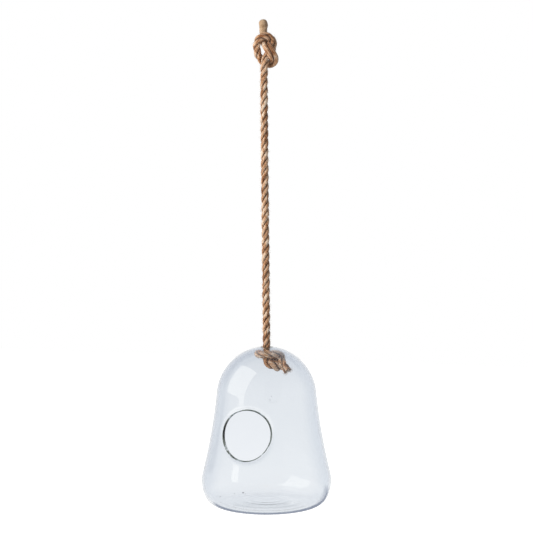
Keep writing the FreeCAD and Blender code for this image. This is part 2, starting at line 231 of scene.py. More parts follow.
def new_piece(
    name: str,
    points: Array,
    quads: Array,
    triangles: Array | None = None,
    marks: dict[str, Array] | None = None,
) -> Piece:
    """Makes a smooth mesh object at the origin.

    Args:
        name: the object's name.
        points: its points, one row each.
        quads: its four-sided faces as rows of point numbers.
        triangles: its three-sided faces, if any.
        marks: a number or a vector at each point for every attribute that the piece carries.

    Returns:
        The object, linked to the scene.
    """
    triangles = np.zeros((0, 3), int) if triangles is None else triangles
    corners = np.concatenate([quads.ravel(), triangles.ravel()]).astype(np.int32)
    sides = np.concatenate([np.full(len(quads), 4), np.full(len(triangles), 3)])
    starts = np.concatenate([[0], np.cumsum(sides)[:-1]]).astype(np.int32)
    mesh = bpy.data.meshes.new(name)
    mesh.vertices.add(len(points))
    mesh.vertices.foreach_set("co", np.ascontiguousarray(points, np.float32).ravel())
    mesh.loops.add(len(corners))
    mesh.loops.foreach_set("vertex_index", corners)
    mesh.polygons.add(len(sides))
    mesh.polygons.foreach_set("loop_start", starts)
    mesh.polygons.foreach_set("use_smooth", np.ones(len(sides), bool))
    mesh.update(calc_edges=True)
    mesh.validate()
    for mark, values in (marks or {}).items():
        kind, key = ("FLOAT_VECTOR", "vector") if values.ndim > 1 else ("FLOAT", "value")
        layer = mesh.attributes.new(mark, kind, "POINT")
        layer.data.foreach_set(key, np.ascontiguousarray(values, np.float32).ravel())
    piece = bpy.data.objects.new(name, mesh)
    bpy.context.scene.collection.objects.link(piece)
    return piece


def grown(piece: Piece, tree: Tree, sizes: dict[str, float]) -> None:
    """Runs a Geometry Nodes tree on a piece, which keeps the plain mesh that comes out.

    Args:
        piece: the object that the tree starts from.
        tree: the tree.
        sizes: a value for each of the tree's named inputs.
    """
    modifier = piece.modifiers.new("grown", "NODES")
    modifier.node_group = tree
    for item in tree.interface.items_tree:
        if item.item_type == "SOCKET" and item.in_out == "INPUT" and item.name in sizes:
            modifier[item.identifier] = sizes[item.name]
    graph = bpy.context.evaluated_depsgraph_get()
    mesh = bpy.data.meshes.new_from_object(piece.evaluated_get(graph), depsgraph=graph)
    piece.modifiers.remove(modifier)
    mesh.name = piece.name
    piece.data = mesh


def ring_quads(rings: int, around: int, first: int = 0) -> Array:
    """Numbers the faces of a tube of rings.

    Args:
        rings: how many rings it has.
        around: points on each ring.
        first: number of the first ring's first point.

    Returns:
        Rows of four point numbers, facing outwards where a ring turns right-handed about the way ahead.
    """
    ring, step = np.meshgrid(np.arange(rings - 1), np.arange(around), indexing="ij")
    a = first + ring * around + step
    b = first + ring * around + (step + 1) % around
    return np.stack([a, b, b + around, a + around], axis=-1).reshape(-1, 4)


def ring_fan(first: int, around: int, backwards: bool = False) -> Array:
    """Numbers the faces that close the end of a tube of rings.

    Args:
        first: number of the end ring's first point.
        around: points on the ring.
        backwards: whether the faces look back, as at the tube's start.

    Returns:
        Rows of three point numbers.
    """
    steps = first + np.arange(1, around - 1)
    pair = [steps + 1, steps] if backwards else [steps, steps + 1]
    return np.stack([*pair, np.full(around - 2, first)], 1)


def bridge(body: bmesh.types.BMesh, before: list, after: list, number: int = 0) -> None:
    """Joins two loops of points with faces.

    Args:
        body: the mesh that takes them.
        before: the first loop.
        after: the second loop, with as many points.
        number: number of the faces' material.
    """
    for j in range(len(before)):
        k = (j + 1) % len(before)
        body.faces.new([before[j], before[k], after[k], after[j]]).material_index = number


class Finish:
    """What every finish shares: a material of its name, filled by nodes of its own."""

    name: str

    def nodes(self, tree: Tree) -> dict[str, Node]:
        """Adds the finish's own nodes, and gives what the output node takes from them."""
        raise NotImplementedError

    def build(self) -> bpy.types.Material:
        """Builds the material.

        Returns:
            The material.
        """
        material = bpy.data.materials.new(self.name)
        material.use_nodes = True
        tree = material.node_tree
        tree.nodes.clear()
        add(tree, "ShaderNodeOutputMaterial", self.nodes(tree))
        return material


@dataclass(frozen=True)
class JuteFibre(Finish):
    """Three-strand jute: matt, tan to dark brown, with streaks along its yarns, darkened with painted shade
    between the strands.
    """

    name: str = "laid_jute_rope"
    light: str = "#E8D3BB"
    middle: str = "#C5946B"
    dark: str = "#784524"
    # Colour of the painted shade between the strands
    shade: str = "#43220E"
    # Single fibres are under 0.1 mm wide, so these are bundles, as coarse as they need to be to show
    fibre_width: float = 0.35 * MM
    fibre_length: float = 9.0 * MM
    # Flecks of bleached and dark fibre, as coarse as they need to be to show
    fleck_width: float = 2.2 * MM
    fleck_length: float = 5.0 * MM
    # Sums of the two patterns at which the colour is darkest and lightest
    darkest: float = 0.8
    lightest: float = 1.18

    def nodes(self, tree: Tree) -> dict[str, Node]:
        """Adds the nodes of spun jute.

        Args:
            tree: the material's tree.

        Returns:
            What the output node takes.
        """
        place = add(tree, "ShaderNodeAttribute", attribute_name="strand_place").outputs["Vector"]
        patterns = []
        for width, length, detail, roughness in (
            (self.fibre_width, self.fibre_length, 4.0, 0.7),
            (self.fleck_width, self.fleck_length, 3.0, 0.6),
        ):
            # The fibres lie along the yarns, so the noise is drawn out along them
            lie = add(tree, "ShaderNodeMapping", {"Vector": place, "Scale": (1, 1, width / length)})
            noise = {"Vector": lie, "Scale": 1 / (2 * width), "Detail": detail, "Roughness": roughness}
            patterns.append(add(tree, "ShaderNodeTexNoise", noise))
        mixed = add(tree, "ShaderNodeMath", dict(enumerate(patterns)), operation="ADD")
        span = {"Value": mixed, "From Min": self.darkest, "From Max": self.lightest}
        share = add(tree, "ShaderNodeMapRange", span)
        stops = {0.0: self.dark, 0.5: self.middle, 1.0: self.light}
        bare = add(tree, "ShaderNodeValToRGB", {"Fac": share}, stops)
        # Painted shade: the colour darkens towards the shade colour between the strands and on the cut end
        painted_shade = add(tree, "ShaderNodeAttribute", attribute_name="painted_shade").outputs["Fac"]
        with_painted_shade = {"Factor": painted_shade, 6: bare, 7: linear(self.shade)}
        bump = {"Height": patterns[0], "Strength": 0.6, "Distance": self.fibre_width}
        jute = {
            "Base Color": add(tree, "ShaderNodeMix", with_painted_shade, data_type="RGBA"),
            "Roughness": 0.9,
            "Specular IOR Level": 0.25,
            "Sheen Weight": 0.15,
            "Sheen Roughness": 0.6,
            "Normal": add(tree, "ShaderNodeBump", bump),
        }
        return {"Surface": add(tree, "ShaderNodeBsdfPrincipled", jute)}


@dataclass(frozen=True)
class LooseFibre(Finish):
    """Single jute fibres that stand off the rope: pale, thin and a little shiny."""

    name: str = "loose_jute_fibre"
    colour: str = "#DDC0A0"
    shade: str = "#B08A66"
    tuft: float = 3 * MM

    def nodes(self, tree: Tree) -> dict[str, Node]:
        """Adds the nodes of loose fibres.

        Args:
            tree: the material's tree.

        Returns:
            What the output node takes.
        """
        place = add(tree, "ShaderNodeTexCoord").outputs["Object"]
        noise = add(tree, "ShaderNodeTexNoise", {"Vector": place, "Scale": 1 / self.tuft})
        colour = add(tree, "ShaderNodeValToRGB", {"Fac": noise}, {0.3: self.shade, 0.7: self.colour})
        fibre = {"Base Color": colour, "Roughness": 0.65, "Specular IOR Level": 0.4}
        return {"Surface": add(tree, "ShaderNodeBsdfPrincipled", fibre)}


@dataclass(frozen=True)
class GluedTip(Finish):
    """Rope end soaked in dried glue: pale tan, smoother than the rope, with faint yellow mottling."""

    name: str = "glue_soaked_jute"
    light: str = "#C2A584"
    middle: str = "#B2916E"
    dark: str = "#9C7855"
    mottle: float = 4 * MM
    grain: float = 0.8 * MM
    grain_stretch: float = 0.15
    grain_height: float = 0.3 * MM

    def nodes(self, tree: Tree) -> dict[str, Node]:
        """Adds the nodes of the glued tip.

        Args:
            tree: the material's tree.

        Returns:
            What the output node takes.
        """
        place = add(tree, "ShaderNodeAttribute", attribute_name="strand_place").outputs["Vector"]
        mottle = add(tree, "ShaderNodeTexNoise", {"Vector": place, "Scale": 1 / self.mottle, "Detail": 4.0})
        stops = {0.32: self.dark, 0.5: self.middle, 0.68: self.light}
        lie = add(tree, "ShaderNodeMapping", {"Vector": place, "Scale": (1, 1, self.grain_stretch)})
        grain = add(tree, "ShaderNodeTexNoise", {"Vector": lie, "Scale": 1 / self.grain, "Detail": 3.0})
        bump = {"Height": grain, "Strength": 0.4, "Distance": self.grain_height}
        glue = {
            "Base Color": add(tree, "ShaderNodeValToRGB", {"Fac": mottle}, stops),
            "Roughness": 0.6,
            "Coat Weight": 0.15,
            "Coat Roughness": 0.35,
            "Normal": add(tree, "ShaderNodeBump", bump),
        }
        return {"Surface": add(tree, "ShaderNodeBsdfPrincipled", glue)}


@dataclass(frozen=True)
class SodaLimeGlass(Finish):
    """Blown soda-lime glass: clear, faintly blue-grey, with painted shade that greys it where it turns away
    from the eye.
    """

    name: str = "blown_soda_lime_glass"
    colour: str = "#FBFCFC"
    turned: str = "#DCE2E9"
    tint: str = "#A9BCCB"
    density: float = 3.0
    ior: float = 1.5
    # Its shadow's colour, nearly clear
    shadow: tuple[float, float, float, float] = (0.98, 0.985, 0.99, 1)
    # Height of the vase's foot, and how far above it the wall has its full painted shade
    foot: float = 0.0
    foot_fade: float = 22 * MM
    # Length of the pale streaks along a melted edge, or none, and their colour
    streak_length: float = 0.0
    streak: str = "#D3DBD6"

    def nodes(self, tree: Tree) -> dict[str, Node]:
        """Adds the nodes of blown glass.

        Args:
            tree: the material's tree.

        Returns:
            What the output node takes.
        """
        place = add(tree, "ShaderNodeTexCoord").outputs["Object"]
        # Painted shade: the wall is greyed near its outline, where it turns away from the eye, for the long
        # way through the glass there, which the thin foot lacks
        height = add(tree, "ShaderNodeSeparateXYZ", {"Vector": place}).outputs["Z"]
        span = {"Value": height, "From Min": self.foot, "From Max": self.foot + self.foot_fade}
        wall = add(tree, "ShaderNodeMapRange", span)
        facing = add(tree, "ShaderNodeLayerWeight", {"Blend": 0.5}).outputs["Facing"]
        away = add(tree, "ShaderNodeMath", {0: facing, 1: wall}, operation="MULTIPLY")
        colour = add(tree, "ShaderNodeValToRGB", {"Fac": away}, {0.3: self.colour, 0.85: self.turned})
        if self.streak_length:
            noise = {"Vector": place, "Scale": 1 / self.streak_length, "Detail": 2.0}
            streaks = add(tree, "ShaderNodeTexNoise", noise)
            pale = add(tree, "ShaderNodeMapRange", {"Value": streaks, "From Min": 0.54, "From Max": 0.66})
            streaked = {"Factor": pale, 6: colour, 7: linear(self.streak)}
            colour = add(tree, "ShaderNodeMix", streaked, data_type="RGBA")
        glass = {"Base Color": colour, "Roughness": 0.0, "IOR": self.ior, "Transmission Weight": 1.0}
        shader = add(tree, "ShaderNodeBsdfPrincipled", glass)
        clear = add(tree, "ShaderNodeBsdfTransparent", {"Color": self.shadow})
        shadow_ray = add(tree, "ShaderNodeLightPath").outputs[Ray.SHADOW.value]
        return {
            "Surface": add(tree, "ShaderNodeMixShader", {0: shadow_ray, 1: shader, 2: clear}),
            "Volume": add(
                tree, "ShaderNodeVolumeAbsorption", {"Color": linear(self.tint), "Density": self.density}
            ),
        }


@dataclass(frozen=True)
class TrappedAir(Finish):
    """Seeds in the glass: tiny bubbles with painted shade at their rims, which read as grey-brown specks."""

    name: str = "trapped_air_seed"
    rim: str = "#3E363B"
    middle: str = "#8D8F96"

    def nodes(self, tree: Tree) -> dict[str, Node]:
        """Adds the nodes of trapped air.

        Args:
            tree: the material's tree.

        Returns:
            What the output node takes.
        """
        # Painted shade: each seed darkens towards its rim, where it turns away from the eye
        facing = add(tree, "ShaderNodeLayerWeight", {"Blend": 0.4}).outputs["Facing"]
        colour = add(tree, "ShaderNodeValToRGB", {"Fac": facing}, {0.1: self.middle, 0.5: self.rim})
        air = {"Base Color": colour, "Roughness": 0.2, "Specular IOR Level": 0.3}
        return {"Surface": add(tree, "ShaderNodeBsdfPrincipled", air)}


@dataclass(frozen=True)
class SoftboxCloth(Finish):
    """Lit cloth, which lights the rope and is mirrored in the glass, but doesn't show through it."""

    name: str = "softbox_cloth"
    colour: str = "#FFFDF8"
    radiance: float = 1.75

    def nodes(self, tree: Tree) -> dict[str, Node]:
        """Adds the nodes of the cloth, clear to a ray that has only gone through glass.

        Args:
            tree: the material's tree.

        Returns:
            What the output node takes.
        """
        path = add(tree, "ShaderNodeLightPath").outputs
        through = path[Ray.TRANSMISSION.value]
        other = add(tree, "ShaderNodeMath", {0: 1.0, 1: through}, operation="SUBTRACT")
        bounced = {0: path["Glossy Depth"], 1: path["Diffuse Depth"]}
        bounces = add(tree, "ShaderNodeMath", bounced, operation="ADD")
        seen = add(tree, "ShaderNodeMath", {0: other, 1: bounces}, operation="ADD", use_clamp=True)
        clear = add(tree, "ShaderNodeBsdfTransparent")
        glow = add(tree, "ShaderNodeEmission", {"Color": linear(self.colour), "Strength": self.radiance})
        return {"Surface": add(tree, "ShaderNodeMixShader", {0: seen, 1: clear, 2: glow})}


@dataclass(frozen=True)
class WhitePaper(Finish):
    """Matt white paper, which keeps the vase's shadow and is white to the camera."""

    name: str = "white_paper"
    grey: float = 0.9

    def nodes(self, tree: Tree) -> dict[str, Node]:
        """Adds the nodes of the paper.

        Args:
            tree: the material's tree.

        Returns:
            What the output node takes.
        """
        paper = add(tree, "ShaderNodeBsdfDiffuse", {"Color": (self.grey, self.grey, self.grey, 1)})
        camera_ray = add(tree, "ShaderNodeLightPath").outputs[Ray.CAMERA.value]
        glow = add(tree, "ShaderNodeEmission", {"Color": (1, 1, 1, 1), "Strength": camera_ray})
        return {"Surface": add(tree, "ShaderNodeAddShader", {0: paper, 1: glow})}


@dataclass(frozen=True)
class Press:
    """A stretch where a knot squeezes the rope, so that it lies wide and thin in the knot's face."""

    middle: float
    reach: float
    width: float
    opened: float = 0.0

    def squeeze(self, spots: Array) -> Array:
        """Gives how hard the knot presses at some lengths along the line, from 0 to 1."""
        return np.exp(-(((spots - self.middle) / self.reach) ** 4))

    def widen(self, spots: Array) -> Array:
        """Gives the rope's share of its usual width at some lengths along its line."""
        return 1 + (self.width - 1) * self.squeeze(spots)


@dataclass(frozen=True)
class Fuzz:
    """How many loose fibres stand on a piece, how large they are, and the seed of their places."""

    per_square_metre: float
    length: float
    radius: float
    seed: int

    def sizes(self, step: int = 0) -> dict[str, float]:
        """Gives the tree's inputs, with a seed of its own for each step.

        Args:
            step: number of the piece among those that share the fuzz.

        Returns:
            The inputs by name.
        """
        return {
            "Fibres per square metre": self.per_square_metre,
            "Fibre length": self.length,
            "Fibre radius": self.radius,
            "Seed": self.seed + step,
        }


@dataclass
class Rope:
    """The whole rope, from its glued tip to its frayed end, cut where the CAD bodies bend or twist."""

    diameter: float = 10 * MM
    # Length of one turn of the strands, and how far their middles lie from the rope's
    lay: float = 34 * MM
    strands: int = 3
    strand_diameter: float = 5.0 * MM
    strand_place: float = 2.55 * MM
    # Waves of uneven thickness: share of the strand, length, and shift from strand to strand
    waves: tuple[Way, ...] = ((0.035, 21 * MM, 2.1), (0.025, 8.3 * MM, 1.0))
    wave_turn: float = 0.6
    # Yarns of a strand, the depth between them, and the shape and middle level of their tops
    yarns: int = 9
    yarn_depth: float = 0.16 * MM
    yarn_bluntness: float = 0.6
    yarn_level: float = 0.7
    # Share of the strands' turn that the yarns turn back, and their shift from strand to strand
    yarn_return: float = 0.95
    yarn_shift: float = 1.3
    dent: float = 0.05 * MM
    dent_length: float = 5 * MM
    # Puts each strand's pattern far from the others'
    pattern_shift: float = 0.9
    # Painted shade between strands: how dark, from which share of the rope's radius inwards, and over which
    # share
    painted_groove_shade: float = 0.8
    groove_top: float = 0.92
    groove_reach: float = 0.3
    around: int = 54
    ring_step: float = 0.85 * MM
    least_rings: int = 8
    # The crown's depth below the origin, and the straight rope's top and its end above the crown
    crown: float = 386.6 * MM
    straight_top: float = -35 * MM
    straight_end: float = 10 * MM
    # The spline's own steps between two points of the route
    line_steps: int = 48
    # Heights at which the rope is cut into pieces
    cut_heights: tuple[float, ...] = (-40 * MM, -102 * MM, -164 * MM, -226 * MM, -288 * MM)
    presses: tuple[Press, ...] = (Press(50 * MM, 19 * MM, 1.3, 0.85), Press(577 * MM, 12 * MM, 1.25))
    # Where a press widens the rope by less than this, it is left round
    press_least: float = 0.01
    # Keeps a pressed stretch sound where it points at the knot's viewer
    end_on: float = 0.2
    # How quickly a press lays the loose fibres flat
    fuzz_loss: float = 2.2
    fuzz: Fuzz = Fuzz(200000.0, 3.8 * MM, 0.05 * MM, 11)
    tip_length: float = 18.0 * MM
    tip_overlap: float = 1.5 * MM
    tip_rings: int = 40
    tip_around: int = 72
    tip_crowding: float = 1.5
    tip_radius: float = 5.8 * MM
    tip_dome: float = 5.8 * MM
    # Where the tip narrows to the rope, over which length and by how much
    tip_neck_start: float = 7 * MM
    tip_neck_length: float = 5 * MM
    tip_neck: float = 0.75 * MM
    # Shares of the tip's radius that its strands and its creases stand out
    tip_lobe: float = 0.045
    tip_crease: float = 0.02
    # Points of the tip closer than this are one
    tip_weld: float = 0.001 * MM
    # Creases round the tip: how many, the length along which they turn by a radian, and their start
    creases: tuple[Way, ...] = ((5, 1.9 * MM, 0.0), (2, -2.7 * MM, 1.0))
    fray_length: float = 7 * MM
    fray_rings: int = 14
    # Shares by which the frayed strands spread and thin out
    fray_spread: float = 0.5
    fray_taper: float = 0.28
    # The frayed rings lie at the line's end, this far apart in all, before they are moved on
    fray_step: float = 0.02 * MM
    painted_cut_shade: float = 0.7
    # How many times more loose fibres stand on the cut
    brush_share: float = 7.0
    fray_fuzz: Fuzz = Fuzz(400000.0, 4.0 * MM, 0.06 * MM, 31)
    fibre: JuteFibre = JuteFibre()
    loose: LooseFibre = LooseFibre()
    glue: GluedTip = GluedTip()
    # Read from the spline: its points, their lengths along it and the strands' turn there, and a frame
    line: Array = field(init=False)
    reach: Array = field(init=False)
    turns: Array = field(init=False)
    ahead: Array = field(init=False)
    side: Array = field(init=False)
    length: float = field(init=False)

    def controls(self) -> list[Way]:
        """Gives the control points of the rope's one spline, from its tip down."""
        below = [(across, away, up - self.crown / MM) for across, away, up in STOPPER_ROUTE]
        route = TOP_KNOT_ROUTE + STRAIGHT_ROUTE + below
        return [seen_from((across * MM, away * MM, up * MM)) for across, away, up in route]

    def lay_line(self) -> None:
        """Makes the NURBS spline and reads the points that the strands follow."""
        curve = bpy.data.curves.new("rope_line", "CURVE")
        curve.dimensions = "3D"
        curve.resolution_u = self.line_steps
        spline = curve.splines.new("NURBS")
        points = self.controls()
        spline.points.add(len(points) - 1)
        for point, spot in zip(spline.points, points):
            point.co = (*spot, 1.0)
        spline.order_u = 3
        spline.use_endpoint_u = True
        holder = bpy.data.objects.new("rope_line", curve)
        mesh = bpy.data.meshes.new_from_object(holder)
        self.line = np.array([vertex.co for vertex in mesh.vertices])
        bpy.data.objects.remove(holder)
        bpy.data.curves.remove(curve)
        bpy.data.meshes.remove(mesh)
        steps = np.linalg.norm(np.diff(self.line, axis=0), axis=1)
        self.reach = np.concatenate([[0.0], np.cumsum(steps)])
        self.length = float(self.reach[-1])
        # Where a knot presses it, the rope's lay opens and the strands run straighter
        rate = 1 - sum(press.opened * press.squeeze(self.reach) for press in self.presses)
        self.turns = TURN / self.lay * np.concatenate([[0.0], np.cumsum(rate[1:] * steps)])
        self.carry_frames()

    def carry_frames(self) -> None:
        """Carries one frame along the line without twist, so that the strands turn evenly."""
        ahead = np.gradient(self.line, self.reach, axis=0)
        ahead /= np.linalg.norm(ahead, axis=1)[:, None]
        side = np.zeros_like(ahead)
        first = np.cross(ahead[0], (0.0, 1.0, 0.0))
        side[0] = first / np.linalg.norm(first)
        for i in range(1, len(ahead)):
            turned = side[i - 1] - ahead[i] * (side[i - 1] @ ahead[i])
            side[i] = turned / np.linalg.norm(turned)
        self.ahead, self.side = ahead, side

    def at(self, spots: Array) -> tuple[Array, Array, Array]:
        """Reads the line at some lengths from its tip.

        Args:
            spots: lengths along the line.

        Returns:
            The places there and two directions across the line, one row for each length.
        """

        def read(table: Array) -> Array:
            """Reads one table of vectors at the lengths."""
            return np.stack([np.interp(spots, self.reach, table[:, i]) for i in range(3)], axis=1)

        ahead = read(self.ahead)
        ahead /= np.linalg.norm(ahead, axis=1)[:, None]
        side = read(self.side)
        side -= ahead * np.sum(side * ahead, axis=1)[:, None]
        side /= np.linalg.norm(side, axis=1)[:, None]
        return read(self.line), side, np.cross(ahead, side)

    def length_at(self, height: float) -> float:
        """Gives the length along the line at which its straight part passes a height."""
        heights = self.line[:, 2]
        straight = (heights < self.straight_top) & (heights > self.straight_end - self.crown)
        return float(np.interp(-height, -heights[straight], self.reach[straight]))

    def spots(self, start: float, stop: float) -> Array:
        """Gives the lengths along the line at which a stretch has its rings."""
        return np.linspace(start, stop, max(self.least_rings, round((stop - start) / self.ring_step)))

    def strand_rings(self, spots: Array, spread: Array, thick: Array) -> tuple[Array, Array, Array]:
        """Works out the strands' rings.

        Args:
            spots: lengths along the line, one for each ring.
            spread: share of the strands' usual distance from the line, for each ring.
            thick: share of the strands' usual thickness, for each ring.

        Returns:
            Points, pattern places and painted shade between the strands, each as strand, ring, step around.
        """
        centre, side, other = self.at(spots)
        turn = np.interp(spots, self.reach, self.turns)
        lean = math.atan(TURN * self.strand_place / self.lay)
        radius = self.strand_diameter / 2
        # Yarns turn back against the strands, so that they lie nearly along the rope
        yarn_turn = -turn * (1 + self.strand_place / radius) * self.yarn_return
        around = np.arange(self.around) * TURN / self.around
        points, places, painted_shades = [], [], []
        for strand in range(self.strands):
            wander = sum(size * np.sin(spots / length + shift * strand) for size, length, shift in self.waves)
            angle = turn + strand * TURN / self.strands + self.wave_turn * wander
            out = np.cos(angle)[:, None] * side + np.sin(angle)[:, None] * other
            across = -np.sin(angle)[:, None] * side + np.cos(angle)[:, None] * other
            middle = centre + out * (self.strand_place * spread)[:, None]
            yarn = around[None, :] - yarn_turn[:, None] + self.yarn_shift * strand
            lobe = np.abs(np.cos(yarn * self.yarns / 2)) ** self.yarn_bluntness
            depth = self.yarn_depth * (lobe - self.yarn_level)
            depth += self.dent * np.sin(3 * yarn + spots[:, None] / self.dent_length)
            size = radius * (thick * (1 + wander))[:, None] + depth
            outward = (size * np.cos(around)[None, :])[:, :, None]
            sideways = (size * np.sin(around)[None, :] / math.cos(lean))[:, :, None]
            ring = middle[:, None, :] + outward * out[:, None, :] + sideways * across[:, None, :]
            points.append(self.pressed(spots, centre, ring))
            along = np.broadcast_to(spots[:, None], size.shape) + strand * self.pattern_shift
            places.append(np.stack([size * np.cos(yarn), size * np.sin(yarn), along], axis=-1))
            # Painted shade: points that lie deep between the strands, near the rope's middle, are darkened
            far = np.linalg.norm(ring - centre[:, None, :], axis=-1)
            rim = (self.strand_place * spread + radius * thick)[:, None]
            inside = np.clip((self.groove_top - far / rim) / self.groove_reach, 0, 1)
            painted_shades.append(self.painted_groove_shade * inside)
        return np.array(points), np.array(places), np.array(painted_shades)

    def wide(self, spots: Array) -> Array:
        """Gives the rope's share of its usual width at some lengths, from every press together."""
        return np.prod([press.widen(spots) for press in self.presses], axis=0)

    def pressed(self, spots: Array, centre: Array, ring: Array) -> Array:
        """Squeezes rings where a knot presses the rope.

        Args:
            spots: lengths along the line, one for each ring.
            centre: the rings' middles.
            ring: the rings' points, as ring and step around.

        Returns:
            The same points, wider in the knot's face and thinner away from it.
        """
        wide = self.wide(spots)
        if wide.max() < 1 + self.press_least:
            return ring
        ahead = np.gradient(centre, spots, axis=0)
        ahead /= np.linalg.norm(ahead, axis=1)[:, None]
        flat = np.cross(ahead, seen_from((0.0, 1.0, 0.0)))
        flat /= np.maximum(np.linalg.norm(flat, axis=1), self.end_on)[:, None]
        deep = np.cross(flat, ahead)
        offset = ring - centre[:, None, :]
        grow_flat = np.sum(offset * flat[:, None, :], axis=-1) * (wide - 1)[:, None]
        grow_deep = np.sum(offset * deep[:, None, :], axis=-1) * (1 / np.sqrt(wide) - 1)[:, None]
        return ring + grow_flat[:, :, None] * flat[:, None, :] + grow_deep[:, :, None] * deep[:, None, :]

    def strand_piece(
        self,
        name: str,
        spots: Array,
        shape: tuple[Array, Array, Array],
        caps: tuple[bool, bool],
        **more: Array,
    ) -> Piece:
        """Makes one stretch of the rope's strands.

        Args:
            name: the piece's name.
            spots: lengths along the line, one for each ring.
            shape: the rings' points, pattern places and painted shade.
            caps: whether the start and the end are closed with fans.
            more: further attributes, at each point.

        Returns:
            The stretch as an object. Its attribute fuzz is the share of their usual length that
            loose fibres have.
        """
        points, places, painted_shades = shape
        quads, triangles = [], [np.zeros((0, 3), int)]
        for strand in range(self.strands):
            first = strand * len(spots) * self.around
            quads.append(ring_quads(len(spots), self.around, first))
            if caps[0]:
                triangles.append(ring_fan(first, self.around, backwards=True))
            if caps[1]:
                triangles.append(ring_fan(first + (len(spots) - 1) * self.around, self.around))
        fuzz = np.clip(1 - self.fuzz_loss * (self.wide(spots) - 1), 0, 1)
        fuzz = np.broadcast_to(fuzz[None, :, None], painted_shades.shape)
        marks = {"strand_place": places.reshape(-1, 3), "painted_shade": painted_shades.ravel(), "fuzz": fuzz.ravel()}
        faces = np.concatenate(quads), np.concatenate(triangles)
        return new_piece(name, points.reshape(-1, 3), *faces, marks | more)

    def fibre_tree(self, loose: bpy.types.Material) -> Tree:
        """Builds the Geometry Nodes tree that grows loose fibres on the strands.

        Args:
            loose: the fibres' material.

        Returns:
            The tree, which keeps the strands that it starts from.
        """
        floats = dict.fromkeys(("Fibres per square metre", "Fibre length", "Fibre radius"), "Float")
        tree, given = new_tree("loose_fibres", floats | {"Seed": "Int"})
        brush = add(tree, "GeometryNodeInputNamedAttribute", {"Name": "brush"}, data_type="FLOAT")
        many = add(tree, "ShaderNodeMath", {0: brush, 1: self.brush_share, 2: 1.0}, operation="MULTIPLY_ADD")
        density = {0: given["Fibres per square metre"], 1: many}
        density = add(tree, "ShaderNodeMath", density, operation="MULTIPLY")
        places = {"Mesh": given["Geometry"], "Density": density, "Seed": given["Seed"]}
        roots = add(tree, "GeometryNodeDistributePointsOnFaces", places)
        # A fibre leaves the strand, bends over and lies back, in shares of its length
        bow = {"Resolution": 5, "Start": (0, 0, 0), "Middle": (0, 0, 0.45), "End": (0.9, 0, 0.5)}
        bow = add(tree, "GeometryNodeCurveQuadraticBezier", bow)
        section = {"Resolution": 3, "Radius": given["Fibre radius"]}
        section = add(tree, "GeometryNodeCurvePrimitiveCircle", section)
        grow = add(tree, "ShaderNodeCombineXYZ", dict.fromkeys("XYZ", given["Fibre length"]))
        bow = add(tree, "GeometryNodeTransform", {"Geometry": bow, "Scale": grow})
        hair = {"Curve": bow, "Profile Curve": section, "Fill Caps": True}
        hair = add(tree, "GeometryNodeCurveToMesh", hair)
        spin = {0: (-0.35, -0.35, 0.0), 1: (0.35, 0.35, TURN), "Seed": given["Seed"]}
        spin = add(tree, "FunctionNodeRandomValue", spin, data_type="FLOAT_VECTOR")
        turned = {"Rotation": roots.outputs["Rotation"], "Rotate By": spin}
        turned = add(tree, "FunctionNodeRotateRotation", turned, rotation_space="LOCAL")
        scale = {2: 0.35, 3: 1.0, "Seed": given["Seed"]}
        scale = add(tree, "FunctionNodeRandomValue", scale, data_type="FLOAT")
        fuzz = add(tree, "GeometryNodeInputNamedAttribute", {"Name": "fuzz"}, data_type="FLOAT")
        tall = add(tree, "ShaderNodeMath", {0: scale, 1: fuzz.outputs["Attribute"]}, operation="MULTIPLY")
        planted = {"Points": roots, "Instance": hair, "Rotation": turned, "Scale": tall}
        planted = add(tree, "GeometryNodeInstanceOnPoints", planted)
        real = add(tree, "GeometryNodeRealizeInstances", {"Geometry": planted})
        dressed = add(tree, "GeometryNodeSetMaterial", {"Geometry": real, "Material": loose})
        joined = add(tree, "GeometryNodeJoinGeometry", {"Geometry": given["Geometry"]})
        tree.links.new(dressed.outputs["Geometry"], joined.inputs["Geometry"])
        add(tree, "NodeGroupOutput", {"Geometry": joined})
        return tree

    def tip_piece(self) -> Piece:
        """Makes the glued tip: a swollen, rounded end whose strands show faintly.

        Returns:
            The tip as an object.
        """
        rings, around = self.tip_rings, self.tip_around
        spots = (self.tip_length + self.tip_overlap) * np.linspace(0.0, 1.0, rings) ** self.tip_crowding
        centre, side, other = self.at(spots)
        dome = np.sqrt(np.clip(1 - (1 - np.clip(spots / self.tip_dome, 0, 1)) ** 2, 0, 1))
        neck = np.clip((spots - self.tip_neck_start) / self.tip_neck_length, 0, 1) ** 2
        radius = dome * (self.tip_radius - self.tip_neck * neck)
        angle = np.arange(around) * TURN / around
        turn = np.interp(spots, self.reach, self.turns)
        lobes = np.cos(self.strands * (angle[None, :] - turn[:, None]))
        folds = sum(
            0.5 * np.sin(count * angle[None, :] + spots[:, None] / length + start)
            for count, length, start in self.creases
        )
        size = radius[:, None] * (1 + self.tip_lobe * lobes + self.tip_crease * folds)
        outward, sideways = size * np.cos(angle), size * np.sin(angle)
        ring = centre[:, None, :] + outward[:, :, None] * side[:, None, :]
        ring = ring + sideways[:, :, None] * other[:, None, :]
        points = ring.reshape(-1, 3)
        points[:around] = centre[0]
        place = np.stack([outward, sideways, np.broadcast_to(spots[:, None], size.shape)], -1)
        fan = ring_fan((rings - 1) * around, around)
        marks = {"strand_place": place.reshape(-1, 3)}
        piece = new_piece("glued_tip", points, ring_quads(rings, around), fan, marks)
        body = bmesh.new()
        body.from_mesh(piece.data)
        bmesh.ops.remove_doubles(body, verts=body.verts, dist=self.tip_weld)
        bmesh.ops.recalc_face_normals(body, faces=body.faces)
        body.to_mesh(piece.data)
        body.free()
        return piece

